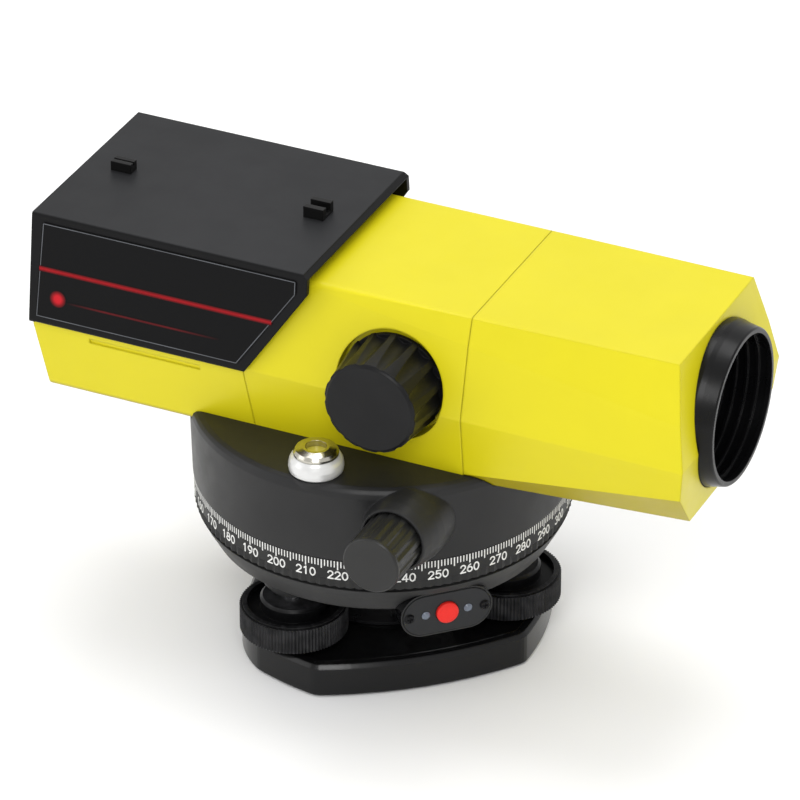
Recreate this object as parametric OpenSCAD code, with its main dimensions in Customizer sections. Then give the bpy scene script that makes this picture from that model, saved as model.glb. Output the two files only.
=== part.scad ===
// Automatic laser level: tripod head, graduated circle, slow-motion drive and telescope.
// +X is the line of sight, +Y the far side, +Z up. The origin is on the tripod thread's axis,
// at the underside of the foot plate. All sizes are in millimetres.

/* [Foot plate and foot screws] */
// Height of the foot plate
plate_h = 10.7; // [9:0.1:12]
// Distance from the axis to the middle of each long side of the foot plate
plate_side = 44; // [42:0.5:46]
// Distance from the axis to each cut corner of the foot plate
plate_corner = 49.6; // [48:0.2:52]
// Pitch radius of the three foot screws
foot_r = 37.7; // [36:0.1:39]
// Plan angle of the first foot screw, from +X
foot_az = -109.2; // [-115:0.2:-105]
// Radius of a foot-screw knob
foot_knob_r = 16.05; // [15:0.05:17]
// Height of the knurled part of a foot-screw knob
foot_knob_h = 8.9; // [8:0.1:10]
// Number of ribs around a foot-screw knob
foot_ribs = 96; // [60:4:120]

/* [Levelling base and circle] */
// Radius of the levelling base at its underside
base_r_low = 51; // [49:0.5:53]
// Height of the underside of the levelling base
base_z = 32.3; // [31:0.1:34]
// Radius of the graduated circle
circle_r = 56; // [55:0.1:57]
// Height of the lower edge of the graduated circle
circle_z = 42.5; // [42.3:0.1:43]
// Height of the graduated circle's band
circle_h = 9.5; // [9:0.1:10]

/* [Upper base] */
// Radius of the upper base at its top edge
upper_r = 56.9; // [56.5:0.1:57.5]
// Height of the flat top of the upper base
upper_top = 76.9; // [76:0.1:78]
// Height of the tangent-screw axis
tangent_z = 64.7; // [64:0.1:65]
// Distance of the tangent-screw axis in front of the vertical axis
tangent_x = 29.4; // [29.2:0.1:29.6]
// Distance from the line of sight to the outer face of a tangent knob
tangent_y = 71.5; // [68:0.5:74]
// Radius of a tangent knob
tangent_knob_r = 8.7; // [8:0.1:10]
// Number of teeth on the azimuth worm wheel
wheel_teeth = 72; // [72:12:72]

/* [Telescope body] */
// Height of the body's underside
body_z = 73; // [72.9:0.1:73.5]
// Height of the waist line, where the side facets meet
waist_z = 96.3; // [95:0.1:98]
// Height of the flat top of the body
body_top = 125.9; // [124:0.1:127]
// Half width of the body at its underside
body_w_low = 33.1; // [32:0.1:33.2]
// Half width of the body at the waist line
body_w_waist = 36; // [35:0.1:37]
// Half width of the body at its top
body_w_top = 28.9; // [28:0.1:30]
// Position of the joint between the middle and front housings
seam_x = 41; // [40:0.1:42]
// Position of the joint between the rear and middle housings
rear_seam_x = -27.8; // [-29:0.1:-27]
// Rear end of the body
rear_x = -96.3; // [-98:0.1:-94]
// Foremost line of the body's front face
front_x = 109.5; // [108:0.1:110]
// Height of the line of sight
axis_z = 99.5; // [99:0.1:100]
// Front rim of the objective hood
hood_x = 113; // [112:0.1:114]
// Outer radius of the objective hood at its rim
hood_r = 23.3; // [23:0.1:24]
// Wall thickness of the moulded housings
wall = 2.6; // [2.4:0.1:3]

/* [Cover] */
// Height of the cover's top
cover_top = 130.8; // [130:0.1:132]
// Half width of the cover at its top
cover_w_top = 34; // [33:0.1:35]
// Half width of the cover at its lower edges
cover_w_low = 38.2; // [38:0.1:39]
// Wall thickness of the cover
cover_wall = 1.6; // [1.4:0.1:1.7]

/* [Focus drive] */
// Position of the focusing knob's axis along the line of sight
focus_x = 18.2; // [17:0.1:19]
// Height of the focusing knob's axis
focus_z = 101; // [100.5:0.1:101.2]
// Distance from the line of sight to the focusing knob's outer face
focus_y = 48.5; // [47:0.5:50]
// Radius of the focusing knob at its outer face
focus_knob_r = 14.2; // [13.5:0.1:15]

/* [Keypad] */
// Plan angle of the keypad, from +X
keypad_az = -45; // [-50:1:-40]
// Distance from the vertical axis to the keypad's face
keypad_d = 54; // [53.5:0.1:54.5]
// Height of the keypad's centre
keypad_z = 32.3; // [32:0.1:33]
// Length of the keypad's face plate
keypad_l = 26.8; // [26:0.1:28]
// Height of the keypad's face plate
keypad_h = 12.8; // [12:0.1:13]

/* [Hidden] */
$fn = 96;
gap = 0.3;           // clearance between pieces that move past each other
fit = 0.05;          // radial clearance of a shaft in its bore
yellow = [0.93, 0.87, 0.08];
black = [0.10, 0.10, 0.11];
satin = [0.16, 0.16, 0.17];

ball_r = 4.5;
ball_z = 7;
floor_z = 9.2;                       // recessed floor inside the foot plate's rim
foot_knob_z = 12;
foot_hub_r = 10;
foot_hub_top = 23.4;
foot_rod_r = 4;
spring_screw_r = 19;                 // pitch radius of the spring plate's screws
bush_r = 7.4;
rod_top = 45;
thread_pitch = 1.5;
spindle_r = 7;
wheel_hub_r = 12;
wheel_z = tangent_z;
wheel_t = 4;
tooth_module = 0.7;
worm_lead = PI * tooth_module;
circle_top = circle_z + circle_h;
upper_z = circle_top + gap;          // underside of the upper base
pocket_z = body_z - 0.2;             // floor of the channel that seats the body
shelf_z = 69.4;
boss_r = 12.05;
pinion_teeth = 9;
pinion_module = 0.7;
pinion_r = pinion_teeth * pinion_module / 2;
rack_z = focus_z - pinion_r;

function foot_angle(i) = foot_az + 120 * i;

// ---- helpers ----
module at_foot(i) rotate(foot_angle(i)) translate([foot_r, 0, 0]) children();
module along_x(x0, x1) translate([x0, 0, 0]) rotate([90, 0, 90]) linear_extrude(x1 - x0) children();
module along_y(y0, y1) translate([0, y1, 0]) rotate([90, 0, 0]) linear_extrude(y1 - y0) children();
module rod_x(r, x0, x1, y = 0, z = axis_z)
    translate([x0, y, z]) rotate([0, 90, 0]) cylinder(r = r, h = x1 - x0);
module rod_y(r, y0, y1, x, z, r2 = -1)
    translate([x, y0, z]) rotate([-90, 0, 0]) cylinder(r1 = r, r2 = r2 < 0 ? r : r2, h = y1 - y0);
module tube_x(r_out, r_in, x0, x1) difference() {
    rod_x(r_out, x0, x1);
    rod_x(r_in, x0 - 1, x1 + 1);
}
module rounded(r) offset(r = r, $fn = 24) offset(delta = -r) children();
module stadium(l, h) for (s = [-1, 1]) union() {
    translate([s * (l - h) / 2, 0]) circle(d = h);
    square([l - h, h], center = true);
}
module ribbed_disc(r, n, depth)
    polygon([for (i = [0 : 2 * n - 1]) (r - (i % 2) * depth) * [cos(180 * i / n), sin(180 * i / n)]]);
// Scalloped knob outline: n shallow round flutes
module fluted_disc(r, n, depth, flute_r) difference() {
    circle(r = r);
    for (i = [0 : n - 1]) rotate(360 * i / n)
        translate([r + flute_r - depth, 0]) circle(r = flute_r, $fn = 32);
}

// ---- foot plate ----
module plate_outline() rounded(5) intersection() {
    intersection_for(i = [0 : 2]) rotate(foot_angle(i)) intersection() {
        translate([plate_corner - 90, 0]) circle(r = 90, $fn = 360);
        rotate(60) translate([plate_side - 125, 0]) circle(r = 125, $fn = 360);
    }
    // larger round beside the first foot screw
    hull() {
        translate([-1.6, -17.9]) circle(r = 33, $fn = 180);
        polygon([[-44, 14], [-60, 80], [100, 80], [100, -80]]);
    }
}
module foot_plate() color(black) difference() {
    hull() {
        translate([0, 0, 0.8]) linear_extrude(plate_h - 2) plate_outline();
        linear_extrude(plate_h) offset(delta = -1) plate_outline();
    }
    translate([0, 0, floor_z]) linear_extrude(plate_h) offset(delta = -3.4) plate_outline();
    translate([0, 0, -1]) cylinder(r = 12 + fit, h = plate_h + 2);
    for (i = [0 : 2]) at_foot(i) {
        translate([0, 0, ball_z]) sphere(r = ball_r + gap);
        translate([0, 0, ball_z]) cylinder(r = ball_r + gap, h = plate_h);
    }
    for (i = [0 : 2]) rotate(foot_angle(i) + 60) translate([spring_screw_r, 0, 4])
        cylinder(r = 1.6, h = plate_h);
}
module thread_bush() color("silver") difference() {
    union() {
        cylinder(r = 12, h = floor_z + 1);
        translate([0, 0, floor_z + 0.02]) cylinder(r = 14, h = 1.4);
    }
    translate([0, 0, -1]) cylinder(r = 6.9, h = plate_h + 4);
}
module spring_outline() difference() {
    union() {
        for (i = [0 : 2]) {
            rotate(foot_angle(i)) translate([14, -5.5]) square([foot_r - 14, 11]);
            rotate(foot_angle(i)) translate([foot_r, 0]) circle(r = 8);
        }
        circle(r = 22.5);
    }
    circle(r = 14.5);
    for (i = [0 : 2]) {
        rotate(foot_angle(i)) translate([foot_r, 0]) circle(r = 4.1);
        rotate(foot_angle(i) + 60) translate([spring_screw_r, 0]) circle(r = 1.75);
    }
}
module spring_plate() color("lightsteelblue")
    translate([0, 0, floor_z + 0.1]) linear_extrude(1) spring_outline();
module spring_plate_screws() color("silver") for (i = [0 : 2])
    rotate(foot_angle(i) + 60) translate([spring_screw_r, 0, 0]) {
    difference() {
        translate([0, 0, floor_z + 1.12]) cylinder(r = 3, h = 1.4);
        translate([-3.2, -0.4, floor_z + 1.9]) cube([6.4, 0.8, 2]);
    }
    translate([0, 0, 4.3]) cylinder(r = 1.5, h = floor_z + 1.2 - 4.3);
}

// ---- foot screws ----
module foot_knob(i) color(black) at_foot(i) difference() {
    union() {
        translate([0, 0, foot_knob_z + 0.5]) linear_extrude(foot_knob_h - 1)
            ribbed_disc(foot_knob_r, foot_ribs, 0.42);
        translate([0, 0, foot_knob_z]) cylinder(r = foot_knob_r - 0.9, h = foot_knob_h);
        foot_hub();
    }
    translate([0, 0, foot_knob_z - 1]) cylinder(r = foot_rod_r - 0.6 + fit, h = 30);
    translate([0, 0, foot_knob_z + foot_knob_h - 1.6]) difference() {
        cylinder(r = foot_knob_r - 2.2, h = 5);
        translate([0, 0, -1]) cylinder(r = foot_hub_r, h = 7);
    }
}
module foot_hub() rotate_extrude()
    polygon([[0, foot_knob_z + 3], [foot_hub_r, foot_knob_z + 3], [foot_hub_r, foot_hub_top - 0.8],
             [foot_hub_r - 0.8, foot_hub_top], [0, foot_hub_top]]);
// Threaded rod: the thread is a row of V rings above the knob
module foot_spindle(i) {
    turns = floor((rod_top - foot_hub_top - 2) / thread_pitch);
    color("silver") at_foot(i) rotate_extrude(convexity = 4)
        polygon(concat(
            [[0, ball_z + ball_r + 0.1], [2.4, ball_z + ball_r + 0.1], [2.4, foot_knob_z + 0.6],
             [foot_rod_r - 0.6, foot_knob_z + 0.6], [foot_rod_r - 0.6, foot_hub_top + 1]],
            [for (t = [0 : turns - 1]) each [
                [foot_rod_r, foot_hub_top + 1.5 + t * thread_pitch],
                [foot_rod_r, foot_hub_top + 2.0 + t * thread_pitch],
                [foot_rod_r - 0.6, foot_hub_top + 2.5 + t * thread_pitch]]],
            [[foot_rod_r - 0.8, rod_top], [0, rod_top]]));
}
module foot_ball(i) color("gold") at_foot(i) difference() {
    translate([0, 0, ball_z]) {
        sphere(r = ball_r);
        cylinder(r = 2.4, h = ball_r + 0.08);
    }
    translate([0, 0, ball_z - ball_r - 1]) cylinder(r = 3, h = 1.6);
}

// ---- levelling base ----
module levelling_base() color(satin) difference() {
    union() {
        rotate_extrude() polygon([
            [0, base_z], [base_r_low - 1.5, base_z], [base_r_low, base_z + 1.2], [54, circle_z - 3.6],
            [55.5, circle_z - 0.6], [49.9, circle_z - 0.6], [49.9, circle_top - 2], [46.5, circle_top - 2],
            [46.5, base_z + 4], [13, base_z + 4], [13, 44], [0, 44]]);
        for (i = [0 : 2]) at_foot(i) translate([0, 0, base_z]) cylinder(r = 10.5, h = 10);
        rotate(keypad_az) translate([keypad_d - 8, -11, base_z + 0.1]) cube([2.9, 22, 8]);
    }
    translate([0, 0, base_z - 1]) cylinder(r = spindle_r + 0.02, h = 20);
    for (i = [0 : 2]) at_foot(i) translate([0, 0, base_z - 1]) cylinder(r = bush_r + 0.02, h = 20);
    keypad_space(0.05);
}
module keypad_space(clear) rotate(keypad_az) translate([keypad_d - 5.2 - clear, 0, keypad_z])
    rotate([90, 0, 90]) linear_extrude(20) offset(r = clear, $fn = 96)
        stadium(keypad_l + 1.4, keypad_h + 1.4);
module foot_screw_bushes() color("goldenrod") for (i = [0 : 2]) at_foot(i) difference() {
    union() {
        translate([0, 0, 26.6]) cylinder(r = bush_r, h = 15.6);
        translate([0, 0, 28.5]) cylinder(r = bush_r + 1.6, h = base_z - 28.5 - 0.02);
    }
    translate([0, 0, 20]) cylinder(r = foot_rod_r + fit, h = 30);
}
module vertical_spindle() color("silver") rotate_extrude() polygon([
    [0, base_z + 0.2], [spindle_r, base_z + 0.2], [spindle_r, 44.05], [12.5, 44.05], [12.5, 46],
    [spindle_r, 46], [spindle_r, 68.6], [5, 68.6], [5, 71.6], [4.4, 72.2], [0, 72.2]]);
module spindle_nut() color("silver") difference() {
    translate([0, 0, 68.7]) cylinder(r = 9, h = 2.6, $fn = 6);
    translate([0, 0, 68]) cylinder(r = 5.02, h = 6);
}
module friction_washer() color("dimgray") difference() {
    translate([0, 0, circle_z - 0.58]) cylinder(r = 54.6, h = 0.3);
    translate([0, 0, circle_z - 1]) cylinder(r = 50.6, h = 2);
}

// ---- keypad, in the levelling base's side ----
module on_keypad(d) rotate(keypad_az) translate([d, 0, keypad_z]) rotate([90, 0, 90]) children();
module keypad_housing() color(black) difference() {
    on_keypad(keypad_d - 5.2) union() {
        linear_extrude(4.4) stadium(keypad_l + 1.4, keypad_h + 1.4);
        linear_extrude(5) difference() {
            stadium(keypad_l + 1.4, keypad_h + 1.4);
            stadium(keypad_l + 0.4, keypad_h + 0.4);
        }
    }
    on_keypad(keypad_d - 3.8) linear_extrude(6) square([18.5, 9], center = true);
    for (s = [-1, 1]) on_keypad(keypad_d - 4.6) translate([s * 11.6, 0]) cylinder(r = 0.85, h = 6);
}
module keypad_plate() color(satin) on_keypad(keypad_d - 0.78) difference() {
    linear_extrude(0.78) stadium(keypad_l, keypad_h);
    translate([0, 0, -1]) cylinder(r = 3.5, h = 3);
    for (s = [-1, 1]) {
        translate([s * 6.5, 0, -1]) cylinder(r = 1.35, h = 3);
        translate([s * 11.6, 0, -1]) cylinder(r = 0.9, h = 3);
    }
}
module keypad_screws() color("dimgray") for (s = [-1, 1]) on_keypad(keypad_d) translate([s * 11.6, 0]) {
    difference() {
        translate([0, 0, 0.02]) cylinder(r1 = 1.55, r2 = 1.2, h = 0.7);
        for (a = [0, 90]) rotate(a) translate([-0.9, -0.2, 0.35]) cube([1.8, 0.4, 1]);
    }
    translate([0, 0, -4]) cylinder(r = 0.8, h = 4.04);
}
module led_lenses() color("slategray") for (s = [-1, 1]) on_keypad(keypad_d) translate([s * 6.5, 0, -1.6]) {
    cylinder(r = 1.3, h = 1.7);
    translate([0, 0, 1.7]) cylinder(r1 = 1.3, r2 = 0.8, h = 0.4);
}
module laser_button() color("red") on_keypad(keypad_d) {
    translate([0, 0, -0.9]) cylinder(r = 3.35, h = 1.7);
    translate([0, 0, 0.8]) cylinder(r1 = 3.35, r2 = 2.7, h = 0.4);
    translate([0, 0, -1.4]) cylinder(r = 3.9, h = 0.5);
}
module keypad_board() color("green")
    on_keypad(keypad_d - 3.75) linear_extrude(1) square([18, 8.4], center = true);

// ---- graduated circle ----
module circle_ring() color(black) {
    notch_n = 120;
    difference() {
        union() {
            translate([0, 0, circle_z + 3.2]) cylinder(r = circle_r, h = circle_h - 3.2);
            translate([0, 0, circle_z]) cylinder(r1 = circle_r - 1.2, r2 = circle_r - 0.5, h = 3.2);
            translate([0, 0, circle_z + 0.4]) linear_extrude(2.8) ribbed_disc(circle_r - 0.05, notch_n, 0.55);
        }
        translate([0, 0, circle_z - 1]) cylinder(r = 50 - fit, h = 20);
    }
}

// ---- slow-motion drive ----
module worm_wheel() color("peru") difference() {
    union() {
        translate([0, 0, 46.3]) cylinder(r = wheel_hub_r, h = 68.4 - 46.3);
        translate([0, 0, wheel_z - wheel_t / 2]) linear_extrude(wheel_t) difference() {
            wheel_outline();
            for (i = [0 : 5]) rotate(60 * i) translate([18, 0]) circle(r = 3.2, $fn = 32);
        }
    }
    translate([0, 0, 40]) cylinder(r = spindle_r + fit, h = 40);
}
// Straight-sided teeth with a gap on the +X line, where the worm's thread sits
wheel_root_r = 24.35;
wheel_tip_r = 25.7;
module wheel_outline() polygon([for (i = [0 : wheel_teeth - 1]) each [
    for (c = [[wheel_root_r, 0.33], [wheel_tip_r, 0.42], [wheel_tip_r, 0.58], [wheel_root_r, 0.67]])
        polar(c[0], (i + c[1]) * 360 / wheel_teeth)]]);
function polar(r, a) = r * [cos(a), sin(a)];

module tangent_shaft() color("silver") rod_y(3, -tangent_y + 4, tangent_y - 4, tangent_x, tangent_z);
// One helical thread on a sleeve; its crest is at y = 0 on the side that faces the wheel
module tangent_worm() color("silver") translate([tangent_x, 0, tangent_z]) rotate([-90, 0, 0]) difference() {
    union() {
        translate([0, 0, -10]) cylinder(r = 3.6, h = 20);
        helix(r_root = 3.4, r_tip = 4.55, lead = worm_lead, turns = 7, w_root = 0.75, w_tip = 0.35);
    }
    translate([0, 0, -11]) cylinder(r = 3.02, h = 22);
}
module helix(r_root, r_tip, lead, turns, w_root, w_tip) {
    steps = 24;
    n = turns * steps;
    profile = [[r_root, -w_root], [r_tip, -w_tip], [r_tip, w_tip], [r_root, w_root]];
    ring = function(k) let (a = 180 + 360 * (k - n / 2) / steps, z = lead * (k - n / 2) / steps)
        [for (p = profile) [p[0] * cos(a), p[0] * sin(a), z + p[1] / 2]];
    points = [for (k = [0 : n]) each ring(k)];
    faces = concat(
        [[3, 2, 1, 0]],
        [for (k = [0 : n - 1]) each [for (j = [0 : 3]) let (a = 4 * k + j, b = 4 * k + (j + 1) % 4)
            each [[a, b, b + 4], [a, b + 4, a + 4]]]],
        [[4 * n, 4 * n + 1, 4 * n + 2, 4 * n + 3]]);
    polyhedron(points, faces, convexity = 10);
}
module tangent_knob(far) color(black) mirror([0, far, 0]) difference() {
    translate([tangent_x, -tangent_y, tangent_z]) rotate([-90, 0, 0]) {
        translate([0, 0, 1.2]) linear_extrude(15.3) fluted_disc(tangent_knob_r, 14, 0.6, 1.6);
        translate([0, 0, 0.35]) cylinder(r = tangent_knob_r, h = 0.95);
        cylinder(r1 = tangent_knob_r - 0.5, r2 = tangent_knob_r - 0.05, h = 0.4);
    }
    rod_y(3 + 0.02, -tangent_y + 3.5, -tangent_y + 30, tangent_x, tangent_z);
}

// ---- upper base ----
module upper_base() color(satin) difference() {
    union() {
        difference() {
            rotate_extrude() polygon([
                [15, upper_z], [56.3, upper_z], [upper_r, upper_top - 3], [upper_r - 0.35, upper_top - 1.5],
                [upper_r - 1.1, upper_top - 0.5], [upper_r - 2.4, upper_top], [0, upper_top], [0, shelf_z],
                [53.4, shelf_z], [53.2, upper_z + 3], [18, upper_z + 3], [18, 60.4], [15, 60.4]]);
        }
        for (s = [0, 1]) mirror([0, s, 0]) translate([tangent_x, 40, tangent_z]) rotate([-90, 0, 0])
            rotate_extrude() polygon([
                [0, 0], [boss_r, 0], [boss_r, 7], [boss_r - 0.4, 10], [boss_r - 1.1, 13.4],
                [boss_r - 1.9, 16.2], [boss_r - 2.2, 16.8], [0, 16.8]]);
        bubble_at() translate([0, 0, shelf_z]) cylinder(r = 8.2, h = upper_top - shelf_z);
        at_body_screws() translate([0, 0, shelf_z - 0.5]) cylinder(r = 5, h = 2);
    }
    // channel that seats the telescope body
    nose(-0.2, seam_x - 0.5);
    along_x(-70, seam_x + 0.1) polygon([[-body_w_low - 0.15, pocket_z], [body_w_low + 0.15, pocket_z],
        [body_w_low + 0.75, upper_top + 1], [-body_w_low - 0.75, upper_top + 1]]);
    translate([0, 0, 60]) cylinder(r = 30, h = 20);
    rod_y(3 + fit, -80, 80, tangent_x, tangent_z);
    for (s = [-1, 1]) {
        rod_y(6, s > 0 ? 30 : -48, s > 0 ? 48 : -30, tangent_x, tangent_z);
        // recess for the knob's inner end
        rod_y(9.3, s > 0 ? 54 : -60, s > 0 ? 60 : -54, tangent_x, tangent_z);
    }
    at_body_screws() translate([0, 0, 60]) cylinder(r = 2.1, h = 20);
}
module bubble_at() translate([1.5, -48.5, 0]) children();
module bearing_sleeve() color("goldenrod") difference() {
    translate([0, 0, upper_z + 0.1]) cylinder(r = 14.98, h = 60.3 - upper_z);
    translate([0, 0, 40]) cylinder(r = wheel_hub_r + fit, h = 30);
}
module bubble_seat() color("white") bubble_at() translate([0, 0, upper_top + 0.02]) difference() {
    rotate_extrude() polygon([
        [0, 0], [7.5, 0], [7.9, 0.5], [8.1, 1.6], [8.05, 2.6], [7.8, 3.7], [7.3, 4.7], [6.7, 5.4], [0, 5.4]]);
    translate([0, 0, 1.2]) cylinder(r = 5.1, h = 8);
}
module bubble_vial() color("palegreen", 0.6)
    bubble_at() translate([0, 0, upper_top + 1.3]) cylinder(r = 5, h = 4.6);
module bubble_cap() color("silver") bubble_at() translate([0, 0, upper_top + 5.5]) difference() {
    rotate_extrude() polygon([[0, 0], [6.6, 0], [6.6, 0.7], [6.0, 1.6], [3.9, 2.2], [0, 2.2]]);
    translate([0, 0, -1]) cylinder(r = 5.1, h = 1.5);
    translate([0, 0, -1]) cylinder(r1 = 3, r2 = 3.3, h = 6);
}
module at_body_screws() for (x = [-40, 37], y = [-22, 22]) translate([x, y, 0]) children();
module body_screws() color("dimgray") at_body_screws() {
    difference() {
        translate([0, 0, shelf_z - 3.55]) cylinder(r = 3.4, h = 3);
        translate([0, 0, shelf_z - 4]) cylinder(r = 1.6, h = 2, $fn = 6);
    }
    translate([0, 0, shelf_z - 0.7]) cylinder(r = 2, h = 12);
}

// ---- telescope housings ----
module body_section(inset = 0) offset(delta = -inset) rounded(2.2) polygon([
    [-body_w_low, body_z], [body_w_low, body_z], [body_w_waist, waist_z], [body_w_top, body_top],
    [-body_w_top, body_top], [-body_w_waist, waist_z]]);
module side_cut(points) along_y(-60, 60) polygon(points);
// Everything on the far side of a plane through p with outward normal n
module beyond(p, n) translate(p) rotate([0, acos(n[2] / norm(n)), atan2(n[1], n[0])])
    translate([-150, -150, 0]) cube([300, 300, 100]);
// The long facet below each top edge, moved inward by t
module crease_cuts(t) for (s = [0, 1]) mirror([0, s, 0]) {
    n = [0.0132, 1, 0.341];
    beyond([42, 30.87, 117.7] - t * n / norm(n), n);
}
// The facet along each lower edge of the front housing, moved inward by t
module belly_cuts(t) for (s = [0, 1]) mirror([0, s, 0]) intersection() {
    n = [0.0996, 1, -0.8668];
    beyond([72.27, 30.58, 77.29] - t * n / norm(n), n);
    side_cut([[seam_x - 3, body_z - 5], [seam_x - 3, 92], [150, 92], [150, body_z - 5]]);
}
module nose(inset, x0) difference() {
    along_x(x0, 112) body_section(inset);
    crease_cuts(inset);
    belly_cuts(inset);
}
module rear_housing() color(yellow) difference() {
    union() {
        rear_shell();
        for (y = [-22, 22]) translate([-40, y, body_z + 1]) cylinder(r = 3.6, h = 8);
    }
    rod_x(11.55, rear_x - 5, rear_x + 10);
    at_body_screws() translate([0, 0, 60]) cylinder(r = 2.05, h = 21);
    for (s = [0, 1]) mirror([0, s, 0]) vent_groove();
}
module rear_shell() difference() {
    intersection() {
        along_x(rear_x - 1, -20) body_section();
        side_cut([[rear_x + 3.7, body_z - 1], [rear_x, waist_z - 2], [rear_x, body_top + 1],
            [rear_seam_x, body_top + 1], [rear_seam_x, waist_z - 2], [rear_seam_x + 3, body_z - 1]]);
    }
    intersection() {
        along_x(rear_x - 1, -10) body_section(wall);
        side_cut([[rear_x + 6.5, body_z - 1], [rear_x + 3, waist_z - 2], [rear_x + 3, body_top + 1],
            [0, body_top + 1], [0, body_z - 1]]);
    }
}
// Long shallow groove along each lower side facet
module vent_groove() translate([-78, body_w_waist - 1.1, waist_z - 4.2]) cube([36, 3, 1.5]);
module middle_housing() color(yellow) difference() {
    union() {
        difference() {
            middle_solid(seam_x - 0.08) body_section();
            along_x(-40, 50) body_section(wall);
            crease_cuts(0);
        }
        // cup around the focusing knob's recess
        intersection() {
            rod_y(19.4, -45, -26.4, focus_x, focus_z);
            middle_solid(seam_x - 0.08) body_section(0.01);
        }
        // spigots that close both joints from inside
        spigot(rear_seam_x - 2, rear_seam_x + 4, wall + 0.1);
        spigot(rear_seam_x + 3.8, rear_seam_x + 6, wall - 0.1);
        spigot(seam_x - 4, seam_x - 0.4, wall - 0.1);
        difference() {
            spigot(seam_x - 0.5, seam_x + 3, wall + 0.2);
            crease_cuts(wall + 0.2);
            belly_cuts(wall + 0.2);
        }
        for (y = [-22, 22]) translate([37, y, body_z + 1]) cylinder(r = 3.6, h = 8);
    }
    rod_y(16.8, -60, -29, focus_x, focus_z);
    rod_y(2.55, -60, -20, focus_x, focus_z);
    at_body_screws() translate([0, 0, 60]) cylinder(r = 2.05, h = 21);
}
module spigot(x0, x1, inset) difference() {
    along_x(x0, x1) body_section(inset);
    along_x(x0 - 1, x1 + 1) body_section(wall + 1.6);
}
module middle_solid(x1) intersection() {
    along_x(-40, 50) children();
    side_cut([[rear_seam_x + 0.15, body_top + 1], [rear_seam_x + 0.15, waist_z - 2],
        [rear_seam_x + 3.15, body_z - 1], [x1, body_z - 1], [x1, body_top + 1]]);
}
module front_housing() color(yellow) difference() {
    intersection() {
        nose(0, seam_x + 0.08);
        side_cut([
            [seam_x, body_z - 1], [front_x - 2.6, body_z - 1], [front_x - 2.5, body_z], [front_x - 1.3, 84],
            [front_x, waist_z], [front_x - 5.2, body_top], [front_x - 5.2, body_top + 1],
            [seam_x, body_top + 1]]);
    }
    intersection() {
        nose(wall + 0.1, seam_x - 0.2);
        side_cut([[seam_x - 1, body_z - 1], [front_x - 6.2, body_z - 1], [front_x - 4, waist_z],
            [front_x - 8.8, body_top], [front_x - 8.8, body_top + 1], [seam_x - 1, body_top + 1]]);
    }
    rod_x(24.62, 98, 120);
}

// ---- cover and sights ----
// The cover's outline moved inward by t, open below
cover_slope = (cover_w_low - cover_w_top) / (cover_top - waist_z);
module cover_section(t) for (s = [0, 1]) mirror([s, 0]) polygon([
    [0, waist_z - 5 * t], [0, cover_top - t], [cover_w_top - t + t * cover_slope, cover_top - t],
    [cover_w_low - t + 5 * t * cover_slope, waist_z - 5 * t]]);
module top_cover() color(black) {
    difference() {
        intersection() {
            along_x(rear_x - 0.2, 0) rounded(0.8) cover_section(0);
            side_cut([
                [rear_x - 0.2, waist_z + 0.1], [rear_x - 0.2, cover_top + 1], [-9.2, cover_top + 1],
                [-9.2, cover_top - 0.3], [-7.8, cover_top - 1.4], [-7.8, cover_top - 6.3],
                [-26.7, waist_z + 0.1]]);
        }
        along_x(rear_x - 1, 1) cover_section(cover_wall);
    }
    // frame that closes the rear, around the housing
    along_x(rear_x - 0.2, rear_x + 1.6) difference() {
        intersection() {
            cover_section(0.3);
            translate([-60, waist_z + 0.1]) square([120, 60]);
        }
        body_section(-0.15);
    }
    for (x = [-86, -24], y = [-18, 18]) translate([x, y, body_top + 0.02]) difference() {
        cylinder(r = 4, h = cover_top - cover_wall - body_top + 0.1);
        translate([0, 0, -1]) cylinder(r = 1.3, h = 3);
    }
}
module open_sights() color(black) {
    // rear blade
    difference() {
        translate([-87.4, -1.9, cover_top + 0.02]) cube([6.6, 3.8, 3]);
        translate([-88, -0.35, cover_top + 1.9]) cube([9, 0.7, 2]);
    }
    // front sight: two ears on a foot
    translate([-24, -3.4, cover_top + 0.02]) difference() {
        cube([6.4, 6.8, 3.5]);
        translate([-1, 1.9, 0.9]) cube([9, 3, 4]);
    }
}
module label_plates() color([0.14, 0.14, 0.16]) for (s = [0, 1]) mirror([0, s, 0]) {
    tilt = atan((cover_w_low - cover_w_top) / (cover_top - waist_z));
    translate([0, -cover_w_low - 0.02, waist_z]) rotate([-tilt, 0, 0]) along_y(-0.3, 0) rounded(0.8)
        polygon([[rear_x + 2, 2.4], [rear_x + 3.4, 32.4], [-11.1, 32.4], [-11.1, 28.4], [-28.8, 2.4]]);
}

// ---- optics ----
module objective_hood() color(black) difference() {
    union() {
        rod_x(23.2, 84, 107);
        translate([104, 0, axis_z]) rotate([0, 90, 0]) rotate_extrude() polygon([
            [0, 0], [24.6, 0], [24.6, 3], [24.1, 4.6], [hood_r, hood_x - 104.4], [hood_r - 0.4, hood_x - 104],
            [0, hood_x - 104]]);
    }
    rod_x(21.7, 94.2, hood_x + 1);
    rod_x(22.3, 80, 94.4);
    // grooves between the baffle rings
    for (i = [0 : 4]) rod_x(22.35, 95.4 + i * 3.4, 97.8 + i * 3.4);
}
module objective_cell() color(satin) difference() {
    rod_x(22.2, 84.2, 93.6);
    rod_x(20.05, 85.6, 92.2);
    rod_x(18.6, 83, 95);
}
module objective_lens() color("lightblue", 0.5) translate([85.8, 0, axis_z]) rotate([0, 90, 0])
    intersection() {
        cylinder(r = 20, h = 6.2);
        translate([0, 0, -70.1]) sphere(r = 76);
        translate([0, 0, 74.4]) sphere(r = 76);
    }
module focus_guide() color("dimgray") difference() {
    tube_x(15.5, 13.05, -18, 44);
    // window for the rack
    translate([-25, -20, axis_z - 7.5]) cube([75, 11, 7.2]);
    rod_y(5.5, -20, -8, focus_x, focus_z);
}
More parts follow.
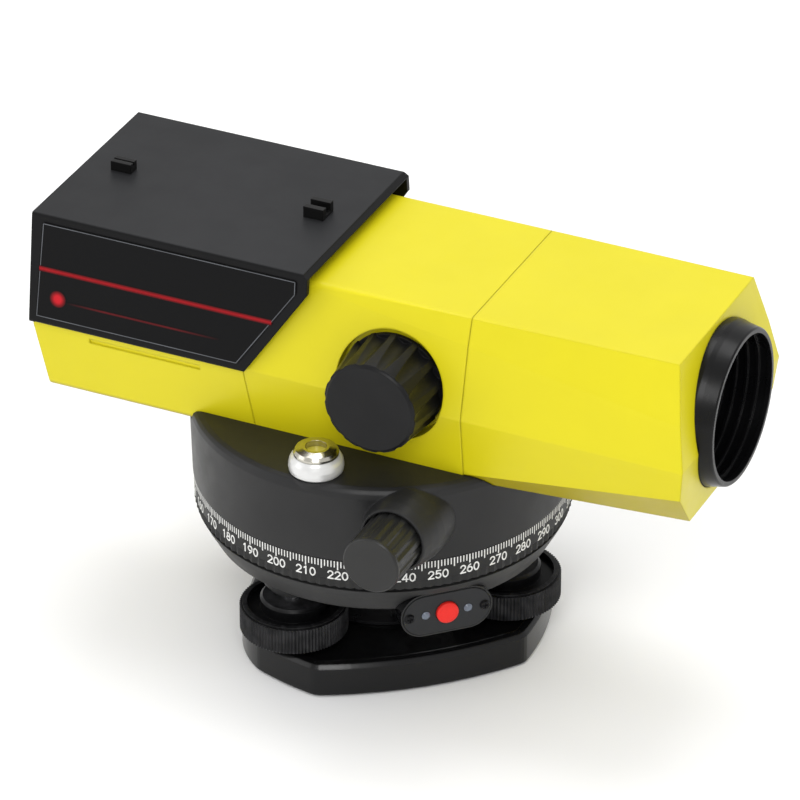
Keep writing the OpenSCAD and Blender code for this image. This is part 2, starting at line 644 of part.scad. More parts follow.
module focus_carriage() color("silver") {
    tube_x(13, 11, 4, 33);
    // rack bar beside the tube, under the pinion
    difference() {
        translate([0, -19.4, axis_z - 6.4]) cube([36, 6.6, rack_z - axis_z + 6.4 - 0.5]);
        rod_x(12, -2, 40);
    }
    difference() {
        along_y(-19.4, -14.2) rack_outline();
        rod_x(12.9, -20, 60);
    }
}
rack_teeth = 13;
module rack_outline() {
    p = PI * pinion_module;
    x0 = focus_x - p * rack_teeth / 2;
    polygon(concat([[x0, rack_z - 1.2]],
        [for (i = [0 : rack_teeth - 1]) each [
            for (c = [[0, -0.75], [0.22, -0.75], [0.42, 0.45], [0.58, 0.45], [0.78, -0.75], [1, -0.75]])
                [x0 + (i + c[0]) * p, rack_z + c[1]]]],
        [[x0 + rack_teeth * p, rack_z - 1.2]]));
}
module focusing_lens() color("lightblue", 0.5) difference() {
    rod_x(10.98, 27, 31.5);
    translate([44.5 - 2, 0, axis_z]) sphere(r = 14);
}
module focus_pinion() color("silver") {
    rod_y(2.5, -focus_y + 6, -20.6, focus_x, focus_z);
    translate([focus_x, -14.4, focus_z]) rotate([90, 0, 0]) linear_extrude(6.2) pinion_outline();
}
// Narrow straight teeth; one gap points straight down at the rack's middle tooth
module pinion_outline() polygon([for (i = [0 : pinion_teeth - 1]) each [
    for (c = [[-0.8, 0.22], [0.45, 0.43], [0.45, 0.57], [-0.8, 0.78]])
        polar(pinion_r + c[0], -90 + (i + c[1]) * 360 / pinion_teeth)]]);
module focus_knob() color(black) difference() {
    translate([focus_x, -focus_y, focus_z]) rotate([-90, 0, 0]) {
        translate([0, 0, 0.6]) intersection() {
            linear_extrude(focus_y - 31.5) fluted_disc(16, 14, 2.1, 3);
            cylinder(r1 = focus_knob_r, r2 = 15.8, h = focus_y - 31);
        }
        cylinder(r1 = focus_knob_r - 1.0, r2 = focus_knob_r - 0.35, h = 0.65);
        translate([0, 0, focus_y - 31.4]) cylinder(r = 15.3, h = 1.4);
    }
    rod_y(2.52, -focus_y + 5, 0, focus_x, focus_z);
}

// ---- compensator, reticle and eyepiece ----
module compensator_frame() color("dimgray") difference() {
    translate([-62, -17, body_z + 2.7]) cube([32, 34, 41]);
    translate([-59, -14, 70]) cube([26, 28, 60]);
    rod_x(6.2, -70, -20);
    rod_y(1.25, -15.7, 15.7, -46, axis_z + 9.6);
}
module compensator_pendulum() color("gold") {
    difference() {
        translate([-53, -10, axis_z - 19]) cube([14, 20, 30]);
        rod_x(8, -60, -30);
    }
    translate([-52, -8.1, axis_z - 7]) cube([12, 16.2, 0.9]);
    rod_y(1.2, -15.4, 15.4, -46, axis_z + 9.6);
}
module fixed_prisms() color("lightcyan", 0.6) for (x = [-58.98, -36.22])
    translate([x, -7, axis_z - 7]) cube([3.2, 14, 14]);
module damping_magnet() color("silver") difference() {
    translate([-51, -11, body_z + 2.65]) cube([10, 22, 3.6]);
    translate([-52, -4, body_z + 5]) cube([12, 8, 3]);
}
module reticle() color("lightcyan", 0.6) rod_x(9.08, -73.28, -72);
module eyepiece_tube() color(black) difference() {
    rod_x(11.5, -99.4, -66);
    rod_x(8.6, -101, -73.2);
    rod_x(9.1, -73.3, -60);
}
module eyepiece_ring() color(black) difference() {
    translate([-107.5, 0, axis_z]) rotate([0, 90, 0]) {
        translate([0, 0, 1.2]) linear_extrude(9.2) ribbed_disc(12.5, 60, 0.4);
        cylinder(r1 = 11, r2 = 12, h = 1.2);
    }
    rod_x(11.56, -99.8, -90);
    rod_x(6.5, -110, -90);
    rod_x(8, -103, -90);
}
module eyepiece_lens() color("lightblue", 0.5) rod_x(7.98, -102.98, -100.4);
module laser_module() color("goldenrod") rod_x(4.5, -84, -64, 0, body_top - wall - 4.55);
module battery_pack() color("royalblue") 
    for (c = [[21.5, 83.2], [25, 98.2]]) rod_x(7.1, -21, 29, c[0], c[1]);

foot_plate();
thread_bush();
spring_plate();
spring_plate_screws();
levelling_base();
foot_screw_bushes();
vertical_spindle();
spindle_nut();
friction_washer();
foot_knob(0);  // foot_knob_1
foot_knob(1);  // foot_knob_2
foot_knob(2);  // foot_knob_3
foot_spindle(0);  // foot_spindle_1
foot_spindle(1);  // foot_spindle_2
foot_spindle(2);  // foot_spindle_3
foot_ball(0);  // foot_ball_1
foot_ball(1);  // foot_ball_2
foot_ball(2);  // foot_ball_3
keypad_housing();
keypad_plate();
keypad_screws();
led_lenses();
laser_button();
keypad_board();
circle_ring();
worm_wheel();
upper_base();
bearing_sleeve();
tangent_shaft();
tangent_worm();
tangent_knob(0);  // tangent_knob_near
tangent_knob(1);  // tangent_knob_far
bubble_seat();
bubble_vial();
bubble_cap();
body_screws();
rear_housing();
middle_housing();
front_housing();
top_cover();
open_sights();
label_plates();
objective_hood();
objective_cell();
objective_lens();
focus_guide();
focus_knob();
focus_pinion();
focus_carriage();
focusing_lens();
compensator_frame();
compensator_pendulum();
fixed_prisms();
damping_magnet();
reticle();
eyepiece_tube();
eyepiece_ring();
eyepiece_lens();
laser_module();
battery_pack();
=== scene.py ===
import math
import bpy
import bmesh
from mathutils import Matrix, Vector


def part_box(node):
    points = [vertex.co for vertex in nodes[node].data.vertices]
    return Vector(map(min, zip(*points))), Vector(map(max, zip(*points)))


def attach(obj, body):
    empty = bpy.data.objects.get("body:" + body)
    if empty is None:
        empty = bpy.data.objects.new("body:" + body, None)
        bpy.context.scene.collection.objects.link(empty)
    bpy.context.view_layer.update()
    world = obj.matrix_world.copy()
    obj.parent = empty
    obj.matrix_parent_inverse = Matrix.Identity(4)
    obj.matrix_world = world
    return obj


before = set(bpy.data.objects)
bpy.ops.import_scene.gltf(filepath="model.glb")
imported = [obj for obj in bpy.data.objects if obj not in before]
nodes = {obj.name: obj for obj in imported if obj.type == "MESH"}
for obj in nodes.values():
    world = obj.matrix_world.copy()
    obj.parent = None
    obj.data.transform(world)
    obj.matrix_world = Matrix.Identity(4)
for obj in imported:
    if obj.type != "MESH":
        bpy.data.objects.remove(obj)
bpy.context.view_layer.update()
MM = 0.001

# Printed graduations and numbers on the circle
ZERO_AT = -298.5                # polar angle of the 0 mark, in degrees
TICK_DROP = 0.25 * MM           # from the circle's top edge to a tick's upper end
LONG_TICK = (2.9 * MM, 0.36 * MM)       # length and width, every five degrees
SHORT_TICK = (2.1 * MM, 0.32 * MM)
DIGIT_H = 2.45 * MM
DIGIT_STROKE = 0.41 * MM
DIGIT_PITCH = 0.88              # from one digit to the next, as a share of the height
DIGIT_MIDDLE = 0.31             # middle of a digit's box, as a share of the height
DIGIT_DROP = 6.2 * MM           # from the circle's top edge to the numbers' feet
PRINT_T = 0.05 * MM             # thickness of the white ink
PRINT_SINK = 0.02 * MM          # how far the ink starts below the faceted rim

# Printed film on the label plates
FILM_BLACK = (0.0030, 0.0030, 0.0034)
FILM_LIFT = 0.00001             # clearance between the label's face and the film
OUTLINE_W = 0.24 * MM
OUTLINE_T = 0.00003
RED_LINE_Z = 0.1141
FAINT_LINE_Z = 0.1050
LINE_LIFT = 0.00004             # height of the red lines above the film's lower side
LINE_STEPS = 20                 # lengthwise steps of a red line
GLOW_Z = 0.1056
GLOW_LIFT = 0.00005
GLOW_SIDES = 32


# ---------------------------------------------------------------- materials
def material(name, color, rough, metallic=0.0, coat=0.0, coat_rough=0.1, spec=0.5, grain=None,
             mottle=0.0, mottle_scale=40.0, rough_vary=0.0, bevel=0.0, transmission=0.0,
             edge_highlight=None, up=None, down=None):
    """A Principled material with object-space noise in its colour, roughness and bump.

    grain is the scale, strength and distance of the fine bump. The tuple for convex edges gives
    the colour and the amount of a painted highlight along them. up and down are the tints of faces
    that look up and down: painted light on the upward faces and painted shade on the downward ones."""
    m = bpy.data.materials.new(name)
    m.use_nodes = True
    nt = m.node_tree
    add = nt.nodes.new
    link = nt.links.new
    p = nt.nodes["Principled BSDF"]
    for socket, value in (("Base Color", (*color, 1)), ("Roughness", rough), ("Metallic", metallic),
                          ("Coat Weight", coat), ("Coat Roughness", coat_rough),
                          ("Specular IOR Level", spec), ("Transmission Weight", transmission),
                          ("IOR", 1.5)):
        p.inputs[socket].default_value = value
    coords = add("ShaderNodeTexCoord").outputs["Object"]

    def noise(scale, detail):
        n = add("ShaderNodeTexNoise")
        n.inputs["Scale"].default_value = scale
        n.inputs["Detail"].default_value = detail
        n.inputs["Roughness"].default_value = 0.55
        link(coords, n.inputs["Vector"])
        return n.outputs["Fac"]

    def ramp(value, to_min, to_max, from_min=0.35, from_max=0.65):
        r = add("ShaderNodeMapRange")
        r.inputs["From Min"].default_value = from_min
        r.inputs["From Max"].default_value = from_max
        r.inputs["To Min"].default_value = to_min
        r.inputs["To Max"].default_value = to_max
        link(value, r.inputs["Value"])
        return r.outputs["Result"]

    def tinted(under, tint, share, patchy):
        """The colour under, mixed with tint by share times patchy."""
        mix = add("ShaderNodeMix")
        mix.data_type = "RGBA"
        mix.inputs["A"].default_value = (*color, 1)
        if under:
            link(under, mix.inputs["A"])
        mix.inputs["B"].default_value = (*tint, 1)
        both = add("ShaderNodeMath")
        both.operation = "MULTIPLY"
        link(share, both.inputs[0])
        link(patchy, both.inputs[1])
        link(both.outputs[0], mix.inputs["Factor"])
        return mix.outputs["Result"]

    base = None
    if mottle:
        hsv = add("ShaderNodeHueSaturation")
        hsv.inputs["Color"].default_value = (*color, 1)
        link(ramp(noise(mottle_scale, 4), 1 - mottle, 1 + mottle), hsv.inputs["Value"])
        base = hsv.outputs["Color"]
    if edge_highlight:
        # pointiness picks out the convex edges for the painted highlight
        pointy = add("ShaderNodeNewGeometry").outputs["Pointiness"]
        base = tinted(base, edge_highlight[0], ramp(pointy, 0, edge_highlight[1], 0.53, 0.6), ramp(noise(300, 3), 0.2, 1.0))
    # painted light on the faces that look up, painted shade on the faces that look down
    for tint, lo, hi in ((up, 0.75, 0.98), (down, -0.05, -0.65)):
        if tint:
            sep = add("ShaderNodeSeparateXYZ")
            link(add("ShaderNodeNewGeometry").outputs["Normal"], sep.inputs["Vector"])
            base = tinted(base, tint, ramp(sep.outputs["Z"], 0, 1, lo, hi), ramp(noise(14, 2), 0.8, 1.0))
    if base:
        link(base, p.inputs["Base Color"])
    if rough_vary:
        lowest = max(rough - rough_vary, 0.02)
        link(ramp(noise(90, 4), lowest, rough + rough_vary), p.inputs["Roughness"])
    normal = None
    if bevel:
        b = add("ShaderNodeBevel")
        b.samples = 4
        b.inputs["Radius"].default_value = bevel
        normal = b.outputs["Normal"]
    if grain:
        scale, strength, distance = grain
        bump = add("ShaderNodeBump")
        bump.inputs["Strength"].default_value = strength
        bump.inputs["Distance"].default_value = distance
        link(noise(scale, 2), bump.inputs["Height"])
        if normal:
            link(normal, bump.inputs["Normal"])
        normal = bump.outputs["Normal"]
    if normal:
        link(normal, p.inputs["Normal"])
    return m


M = {
    # outer shells
    # the down tint darkens the faces that look down: painted shade on the underside facets
    "yellow": material(
        "yellow_enamel", (0.655, 0.575, 0.006), 0.40, coat=0.10, coat_rough=0.25, spec=0.25,
        grain=(900, 0.10, 0.00006), mottle=0.02, mottle_scale=28, rough_vary=0.05, bevel=0.0008,
        down=(0.36, 0.29, 0.002)),
    "cast": material(
        "black_satin_enamel", (0.014, 0.014, 0.0145), 0.42, spec=0.27, grain=(1500, 0.16, 0.00005),
        mottle=0.10, mottle_scale=35, rough_vary=0.05, bevel=0.0007),
    "base": material(
        "base_enamel", (0.026, 0.026, 0.026), 0.48, spec=0.25, grain=(1500, 0.2, 0.00005),
        mottle=0.10, mottle_scale=35, rough_vary=0.05, bevel=0.0004),
    "plate": material(
        "gloss_black_enamel", (0.0035, 0.0035, 0.0038), 0.2, spec=0.22, coat=0.12, coat_rough=0.08,
        grain=(500, 0.05, 0.00005), mottle=0.2, rough_vary=0.04, bevel=0.0008),
    "circle": material(
        "circle_black", (0.016, 0.016, 0.016), 0.5, spec=0.25, grain=(2200, 0.3, 0.00005),
        mottle=0.15, mottle_scale=120, rough_vary=0.06, bevel=0.0002),
    # the up tint lightens the faces that look up: painted light on the cover's top
    "cover": material(
        "cover_black", (0.0036, 0.0036, 0.0040), 0.42, spec=0.14, grain=(2600, 0.25, 0.00005),
        mottle=0.06, mottle_scale=30, rough_vary=0.04, bevel=0.0006, up=(0.020, 0.0205, 0.022)),
    "sight": material(
        "sight_black", (0.004, 0.004, 0.004), 0.4, spec=0.2, grain=(2600, 0.25, 0.00005),
        mottle=0.2, bevel=0.0003),
    "label": material(
        "label_film", FILM_BLACK, 0.30, spec=0.10, mottle=0.06, mottle_scale=10, rough_vary=0.02,
        grain=(700, 0.02, 0.00001)),
    # knobs and keys
    "knob": material(
        "moulded_black", (0.0045, 0.0045, 0.005), 0.40, spec=0.2, grain=(1800, 0.22, 0.00005),
        mottle=0.15, mottle_scale=80, rough_vary=0.06, bevel=0.0005),
    "tangent": material(
        "tangent_knob_black", (0.018, 0.018, 0.0175), 0.36, spec=0.3, grain=(1800, 0.2, 0.00005),
        mottle=0.12, mottle_scale=80, rough_vary=0.06, bevel=0.0003),
    # the last argument lightens the convex rib edges with a painted highlight
    "foot_knob": material(
        "foot_knob_black", (0.003, 0.003, 0.0034), 0.34, spec=0.2, grain=(1800, 0.2, 0.00005),
        mottle=0.15, mottle_scale=80, rough_vary=0.06, bevel=0.0002,
        edge_highlight=((0.08, 0.08, 0.085), 0.4)),
    "pad": material(
        "keypad_black", (0.016, 0.0165, 0.018), 0.4, spec=0.25, grain=(2200, 0.2, 0.00005),
        mottle=0.08, bevel=0.0003),
    "pad_rim": material(
        "keypad_rim", (0.004, 0.004, 0.0045), 0.14, spec=0.3, coat=0.3, coat_rough=0.08, mottle=0.2,
        grain=(500, 0.05, 0.00005), bevel=0.0004),
    "lamp": material(
        "lamp_lens", (0.11, 0.13, 0.17), 0.15, coat=0.4, coat_rough=0.05, mottle=0.1,
        mottle_scale=300, grain=(900, 0.05, 0.00003)),
    "red": material(
        "red_button", (0.74, 0.022, 0.016), 0.40, spec=0.25, mottle=0.05, mottle_scale=200,
        grain=(2000, 0.15, 0.00004), bevel=0.0005),
    # metals and small fittings
    "dark_screw": material(
        "blackened_screw", (0.010, 0.010, 0.011), 0.35, metallic=0.5, spec=0.2, mottle=0.2,
        bevel=0.0001, grain=(3000, 0.2, 0.00003)),
    "steel": material(
        "turned_steel", (0.50, 0.50, 0.52), 0.28, metallic=1, mottle=0.06, mottle_scale=150,
        grain=(2400, 0.12, 0.00003), rough_vary=0.06, bevel=0.0002),
    "dark_steel": material(
        "oxide_steel", (0.020, 0.020, 0.022), 0.30, metallic=0.4, spec=0.3, mottle=0.1,
        mottle_scale=150, grain=(2400, 0.12, 0.00003), rough_vary=0.06, bevel=0.0002),
    "brass": material(
        "turned_brass", (0.72, 0.52, 0.22), 0.28, metallic=1, mottle=0.08, mottle_scale=120,
        grain=(2400, 0.12, 0.00003), rough_vary=0.06, bevel=0.0002),
    "black_brass": material(
        "blackened_bush", (0.006, 0.006, 0.0065), 0.3, spec=0.25, mottle=0.2, mottle_scale=120,
        grain=(1500, 0.12, 0.00003), bevel=0.0002),
    "chrome": material(
        "polished_chrome", (0.50, 0.48, 0.42), 0.20, metallic=1, mottle=0.03, mottle_scale=200,
        grain=(1200, 0.03, 0.00002), bevel=0.0002),
    "washer": material(
        "washer_rubber", (0.01, 0.01, 0.01), 0.7, spec=0.2, mottle=0.2, grain=(1500, 0.3, 0.00005)),
    "white": material(
        "pearl_white", (0.66, 0.66, 0.65), 0.30, metallic=0.35, coat=0.3, coat_rough=0.12,
        mottle=0.03, grain=(1500, 0.06, 0.00003), bevel=0.0003),
    "board": material(
        "solder_mask", (0.01, 0.12, 0.04), 0.4, mottle=0.2, mottle_scale=400,
        grain=(900, 0.2, 0.00005)),
    "battery": material(
        "battery_sleeve", (0.03, 0.07, 0.35), 0.3, coat=0.4, mottle=0.1, grain=(900, 0.1, 0.00004)),
    # glass and black optical parts
    # the vial's golden colour is a painted reflection of the yellow body around it
    "vial": material(
        "vial_spirit_painted_reflection", (0.50, 0.43, 0.045), 0.25, spec=0.2, coat=0.08, coat_rough=0.1, mottle=0.08,
        mottle_scale=250, grain=(500, 0.02, 0.00002)),
    "lens": material(
        "coated_lens", (0.05, 0.06, 0.10), 0.03, coat=0.5, coat_rough=0.02, transmission=0.55,
        mottle=0.1, mottle_scale=30, grain=(100, 0.01, 0.00002)),
    "optics": material(
        "black_anodised", (0.003, 0.003, 0.0034), 0.3, metallic=0.1, spec=0.18, coat=0.05,
        coat_rough=0.2, mottle=0.12, mottle_scale=60, grain=(2600, 0.15, 0.00004), rough_vary=0.05,
        bevel=0.0004),
    # print
    "ink": material(
        "white_ink", (0.74, 0.74, 0.72), 0.6, spec=0.2, mottle=0.08, mottle_scale=900,
        grain=(3000, 0.1, 0.00002)),
    "silver_line": material(
        "silver_line", (0.085, 0.09, 0.10), 0.4, metallic=0.3, mottle=0.25, mottle_scale=90,
        grain=(3000, 0.1, 0.00002)),
}
USE = {
    "yellow": ["rear_housing", "middle_housing", "front_housing"],
    "cast": ["upper_base"],
    "base": ["levelling_base"],
    "plate": ["foot_plate"],
    "circle": ["circle_ring"],
    "knob": ["focus_knob"],
    "tangent": ["tangent_knob_near", "tangent_knob_far"],
    "foot_knob": ["foot_knob_1", "foot_knob_2", "foot_knob_3"],
    "cover": ["top_cover"],
    "sight": ["open_sights"],
    "label": ["label_plates"],
    "pad": ["keypad_plate"],
    "pad_rim": ["keypad_housing"],
    "dark_screw": ["keypad_screws", "body_screws"],
    "lamp": ["led_lenses"],
    "red": ["laser_button"],
    "board": ["keypad_board"],
    "dark_steel": ["spring_plate", "spring_plate_screws"],
    "steel": ["thread_bush", "foot_spindle_1", "foot_spindle_2", "foot_spindle_3", "vertical_spindle",
              "spindle_nut", "tangent_shaft", "tangent_worm", "focus_pinion", "damping_magnet"],
    "brass": ["foot_ball_1", "foot_ball_2", "foot_ball_3", "worm_wheel", "bearing_sleeve",
              "compensator_pendulum", "laser_module"],
    "black_brass": ["foot_screw_bushes"],
    "washer": ["friction_washer"],
    "white": ["bubble_seat"],
    "chrome": ["bubble_cap"],
    "vial": ["bubble_vial"],
    "lens": ["objective_lens", "focusing_lens", "fixed_prisms", "reticle", "eyepiece_lens"],
    "optics": ["objective_hood", "objective_cell", "compensator_frame", "focus_guide", "focus_carriage",
               "eyepiece_tube", "eyepiece_ring"],
    "battery": ["battery_pack"],
}
for key, names in USE.items():
    for node in names:
        nodes[node].data.materials.clear()
        nodes[node].data.materials.append(M[key])
left = set(nodes) - set(sum(USE.values(), []))
if left:
    raise RuntimeError(f"nodes without a material: {left}")


# ---------------------------------------------------------------- helpers for the printed detail
def new_piece(name, bm, mat, body):
    me = bpy.data.meshes.new(name)
    bm.to_mesh(me)
    bm.free()
    o = bpy.data.objects.new(name, me)
    bpy.context.scene.collection.objects.link(o)
    me.materials.append(mat)
    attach(o, body)
    return o


def prism(bm, pts, place, t):
    """A thin closed plate over the outline pts (u, v), laid on a surface by place(u, v, height)."""
    top = [bm.verts.new(place(u, v, t)) for u, v in pts]
    low = [bm.verts.new(place(u, v, 0)) for u, v in pts]
    bm.faces.new(top)
    bm.faces.new(low[::-1])
    for i in range(len(pts)):
        j = (i + 1) % len(pts)
        bm.faces.new((top[j], top[i], low[i], low[j]))


def stroke(p, q, w):
    """The rectangle w wide that joins p to q, with w / 2 of overlap at each end."""
    d = Vector((q[0] - p[0], q[1] - p[1]))
    d = d.normalized() if d.length else Vector((1, 0))
    n = Vector((-d.y, d.x)) * w / 2
    a, b = Vector(p) - d * w / 2, Vector(q) + d * w / 2
    return [tuple(a - n), tuple(b - n), tuple(b + n), tuple(a + n)]


def arc(cx, cy, rx, ry, a0, a1, n=8):
    angles = [math.radians(a0 + (a1 - a0) * i / n) for i in range(n + 1)]
    return [(cx + rx * math.cos(a), cy + ry * math.sin(a)) for a in angles]


# ---------------------------------------------------------------- graduations and numbers
# Digits as single-stroke lines in a box 0.62 wide and 1 high
DIGITS = {
    "0": [arc(0.31, 0.5, 0.31, 0.5, 90, 450, 16)],
    "1": [[(0.12, 0.80), (0.34, 1.0), (0.34, 0.0)]],
    "2": [arc(0.31, 0.70, 0.29, 0.30, 165, -25, 9) + [(0.02, 0.0), (0.62, 0.0)]],
    "3": [arc(0.30, 0.74, 0.27, 0.26, 150, -80, 9), arc(0.30, 0.27, 0.31, 0.27, 80, -150, 10)],
    "4": [[(0.46, 0.0), (0.46, 1.0), (0.0, 0.28), (0.64, 0.28)]],
    "5": [[(0.56, 1.0), (0.10, 1.0), (0.06, 0.56)] + arc(0.30, 0.32, 0.31, 0.32, 130, -150, 11)],
    "6": [arc(0.31, 0.31, 0.30, 0.31, 90, 450, 14), arc(0.62, 0.31, 0.61, 0.69, 180, 112, 6)],
    "7": [[(0.02, 1.0), (0.60, 1.0), (0.20, 0.0)]],
    "8": [arc(0.31, 0.75, 0.25, 0.25, 90, 450, 14), arc(0.31, 0.26, 0.31, 0.26, 90, 450, 14)],
    "9": [arc(0.31, 0.69, 0.30, 0.31, 90, 450, 14), arc(0.0, 0.69, 0.61, 0.69, 0, -68, 6)],
}
_, ring_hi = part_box("circle_ring")
ring_r = ring_hi.x
ring_top = ring_hi.z


def on_ring(degree):
    """Places (u along the rim, v up, height) on the circle's outer band, centred at a degree mark."""
    def place(u, v, h):
        a = math.radians(degree + ZERO_AT) + u / ring_r
        r = ring_r - PRINT_SINK + h
        return (r * math.cos(a), r * math.sin(a), v)
    return place


ticks = bmesh.new()
for d in range(360):
    length, width = LONG_TICK if d % 5 == 0 else SHORT_TICK
    z1 = ring_top - TICK_DROP
    z0 = z1 - length
    w = width / 2
    prism(ticks, [(-w, z0), (w, z0), (w, z1), (-w, z1)], on_ring(d), PRINT_T)
new_piece("circle_graduations", ticks, M["ink"], "circle")

numbers = bmesh.new()
foot = ring_top - DIGIT_DROP
for d in range(0, 360, 10):
    text = str(d)
    pitch = DIGIT_PITCH * DIGIT_H
    start = -(len(text) - 1) * pitch / 2 - DIGIT_MIDDLE * DIGIT_H
    for k, digit in enumerate(text):
        for line in DIGITS[digit]:
            pts = [(start + k * pitch + x * DIGIT_H, foot + y * DIGIT_H) for x, y in line]
            for a, b in zip(pts, pts[1:]):
                prism(numbers, stroke(a, b, DIGIT_STROKE), on_ring(d), PRINT_T)
new_piece("circle_numbers", numbers, M["ink"], "circle")


# ---------------------------------------------------------------- label film on both sides of the cover
def red_material(name, brightest):
    """Film black that turns to brightest as the mesh attribute "across" goes from 0 to 1."""
    m = bpy.data.materials.new(name)
    m.use_nodes = True
    nt = m.node_tree
    add = nt.nodes.new
    link = nt.links.new
    p = nt.nodes["Principled BSDF"]
    p.inputs["Roughness"].default_value = 0.3
    p.inputs["Specular IOR Level"].default_value = 0.1
    across = add("ShaderNodeAttribute")
    across.attribute_name = "across"
    ramp = add("ShaderNodeValToRGB")
    ramp.color_ramp.elements[0].color = (*FILM_BLACK, 1)
    ramp.color_ramp.elements[1].color = (*brightest, 1)
    link(across.outputs["Fac"], ramp.inputs["Fac"])
    noise = add("ShaderNodeTexNoise")
    noise.inputs["Scale"].default_value = 60
    link(add("ShaderNodeTexCoord").outputs["Object"], noise.inputs["Vector"])
    patchy = add("ShaderNodeMapRange")
    patchy.inputs["To Min"].default_value = 0.75
    patchy.inputs["To Max"].default_value = 1.25
    link(noise.outputs["Fac"], patchy.inputs["Value"])
    hsv = add("ShaderNodeHueSaturation")
    link(ramp.outputs["Color"], hsv.inputs["Color"])
    link(patchy.outputs["Result"], hsv.inputs["Value"])
    link(hsv.outputs["Color"], p.inputs["Base Color"])
    return m


M["beam"] = red_material("red_beam", (0.30, 0.006, 0.010))
M["faint_beam"] = red_material("faint_beam", (0.10, 0.006, 0.008))
M["glow"] = red_material("beam_spot", (0.50, 0.012, 0.02))

# The label's outer face as a plane, from the Y of its lowest and of its highest outer edge
label_lo, label_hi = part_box("label_plates")
left_x, right_x = label_lo.x, label_hi.x
near = [v.co for v in nodes["label_plates"].data.vertices if v.co.y < 0]
low_z, high_z = min(v.z for v in near), max(v.z for v in near)
low_y = min(v.y for v in near if v.z < low_z + 0.4 * MM)
high_y = min(v.y for v in near if v.z > high_z - 0.4 * MM)


def on_label(side):
    """Places (x, z, height above the film) on the near label with side 1, on the far one with -1."""
    slope = (high_y - low_y) / (high_z - low_z)
    n = Vector((0, -1, slope)).normalized()

    def place(x, z, h):
        p = Vector((x, low_y + slope * (z - low_z), z)) + n * (h + FILM_LIFT)
        return (p.x, p.y * side, p.z)
    return place


def set_across(piece, values):
    piece.data.attributes.new("across", "FLOAT", "POINT").data.foreach_set("value", values)


def add_outline(tag, place):
    top = high_z - 0.35 * MM
    bottom = low_z + 0.35 * MM
    right = right_x - 0.4 * MM
    pts = [(left_x + 0.45 * MM, bottom), (left_x + 1.85 * MM, top), (right, top),
           (right, top - 3.9 * MM), (right_x - 17.9 * MM, bottom)]
    bm = bmesh.new()
    for p, q in zip(pts, pts[1:] + pts[:1]):
        prism(bm, stroke(p, q, OUTLINE_W), place, OUTLINE_T)
    return new_piece(f"label_outline_{tag}", bm, M["silver_line"], "alidade")


def add_line(name, tag, place, z, xa, xb, width, mat, fades):
    """A band with a bright middle and dark edges, and with faded ends where fades is true."""
    bm = bmesh.new()
    rows = [[bm.verts.new(place(xa + (xb - xa) * i / LINE_STEPS, z + v * width / 2, LINE_LIFT))
             for i in range(LINE_STEPS + 1)] for v in (-1, -0.45, 0, 0.45, 1)]
    for a, b in zip(rows, rows[1:]):
        for i in range(LINE_STEPS):
            bm.faces.new((a[i], a[i + 1], b[i + 1], b[i]))
    line = new_piece(f"label_{name}_{tag}", bm, M[mat], "alidade")
    set_across(line, [v * (min(1, i / 5, (LINE_STEPS - i) / 6) if fades else 1.0)
                      for v in (0, 0.6, 1, 0.6, 0) for i in range(LINE_STEPS + 1)])
    return line


def add_glow(tag, place):
    """A plain round glow where the faint line begins, as a disc in three rings."""
    rings = ((1.1 * MM, 0.9), (1.9 * MM, 0.35), (2.7 * MM, 0.0))
    cx, cz = left_x + 7.2 * MM, GLOW_Z
    bm = bmesh.new()
    centre = bm.verts.new(place(cx, cz, GLOW_LIFT))
    angles = [math.tau * i / GLOW_SIDES for i in range(GLOW_SIDES)]
    loops = [[bm.verts.new(place(cx + r * math.cos(a), cz + r * math.sin(a), GLOW_LIFT))
              for a in angles] for r, _ in rings]
    for i in range(GLOW_SIDES):
        j = (i + 1) % GLOW_SIDES
        bm.faces.new((centre, loops[0][i], loops[0][j]))
        for a, b in zip(loops, loops[1:]):
            bm.faces.new((a[i], b[i], b[j], a[j]))
    glow = new_piece(f"label_spot_{tag}", bm, M["glow"], "alidade")
    set_across(glow, [1.0] + [v for _, v in rings for i in range(GLOW_SIDES)])
    return glow


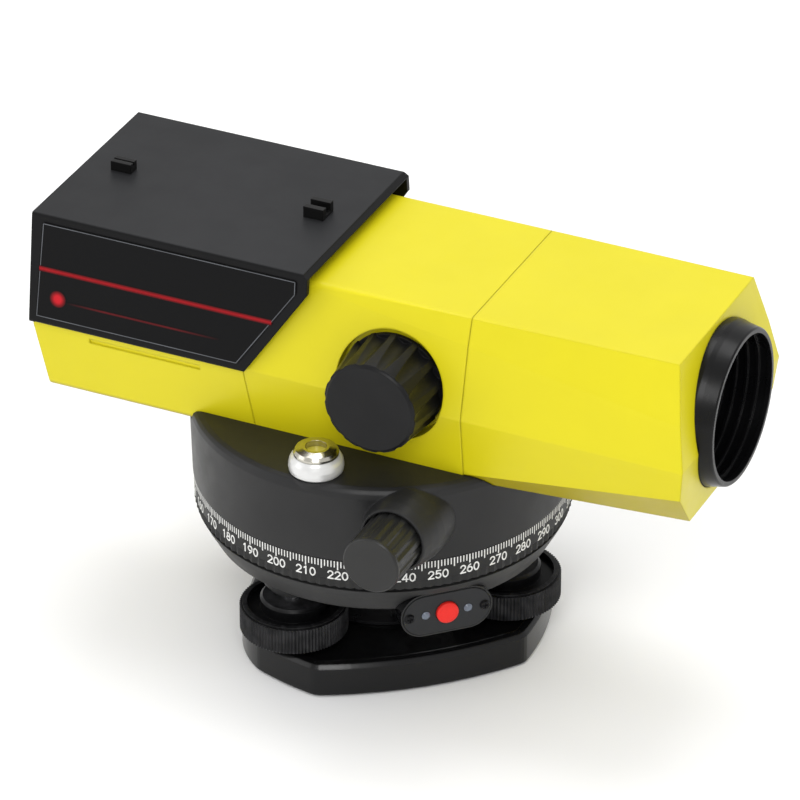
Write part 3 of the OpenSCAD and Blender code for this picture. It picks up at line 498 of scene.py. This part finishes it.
for side, tag in ((1, "near"), (-1, "far")):
    place = on_label(side)
    printed = [
        add_outline(tag, place),
        add_line("red_line", tag, place, RED_LINE_Z, left_x + 0.9 * MM, right_x - 7.2 * MM,
                 1.8 * MM, "beam", False),
        add_line("faint_line", tag, place, FAINT_LINE_Z, left_x + 10 * MM, left_x + 60 * MM,
                 0.9 * MM, "faint_beam", True),
        add_glow(tag, place),
    ]
    if side < 0:
        # the mirrored place turns every face inside out
        for piece in printed:
            piece.data.flip_normals()

# Smooth faces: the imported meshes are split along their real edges, which stay sharp
for o in nodes.values():
    for face in o.data.polygons:
        face.use_smooth = True


# ---------------------------------------------------------------- floor, light and camera
def add_floor(z, half):
    bm = bmesh.new()
    bmesh.ops.create_grid(bm, x_segments=4, y_segments=4, size=half)
    me = bpy.data.meshes.new("floor")
    bm.to_mesh(me)
    bm.free()
    o = bpy.data.objects.new("floor", me)
    o.location.z = z
    me.materials.append(material("pale_floor", (0.97, 0.97, 0.97), 0.6, mottle=0.004, mottle_scale=3))
    bpy.context.scene.collection.objects.link(o)


def aim(o, at, look):
    bpy.context.scene.collection.objects.link(o)
    o.location = at
    o.rotation_mode = "QUATERNION"
    o.rotation_quaternion = (Vector(look) - o.location).to_track_quat("-Z", "Y")


def add_softbox(name, at, look, size, power):
    lamp = bpy.data.lights.new(name, "AREA")
    lamp.shape = "RECTANGLE"
    lamp.size, lamp.size_y = size
    lamp.energy = power
    aim(bpy.data.objects.new(name, lamp), at, look)


add_floor(z=-0.0002, half=6)

world = bpy.data.worlds.new("studio")
bpy.context.scene.world = world
world.use_nodes = True
sky = world.node_tree.nodes["Background"]
sky.inputs["Color"].default_value = (1, 1, 1, 1)
sky.inputs["Strength"].default_value = 0.86

# Name, place, aim, width and height in metres, and watts
add_softbox("key", (0.5, -1.3, 1.3), (0, 0, 0.08), (0.7, 0.7), 11)
add_softbox("fill_left", (-1.2, -0.9, 0.6), (0, 0, 0.08), (0.8, 0.8), 3)
add_softbox("top", (-0.1, 0.4, 1.4), (0, 0, 0.1), (0.9, 0.6), 7)

# The photograph's view: 25 degrees round from the near side, looking down at 31
cam = bpy.data.cameras.new("camera")
cam.lens = 274.4
cam.sensor_width = 36
cam.clip_start, cam.clip_end = 0.1, 20
camera = bpy.data.objects.new("camera", cam)
aim(camera, (0.6541, -1.3871, 0.9910), (0.0, 0.01133, 0.06715))
bpy.context.scene.camera = camera
bpy.context.scene.view_settings.view_transform = "Standard"
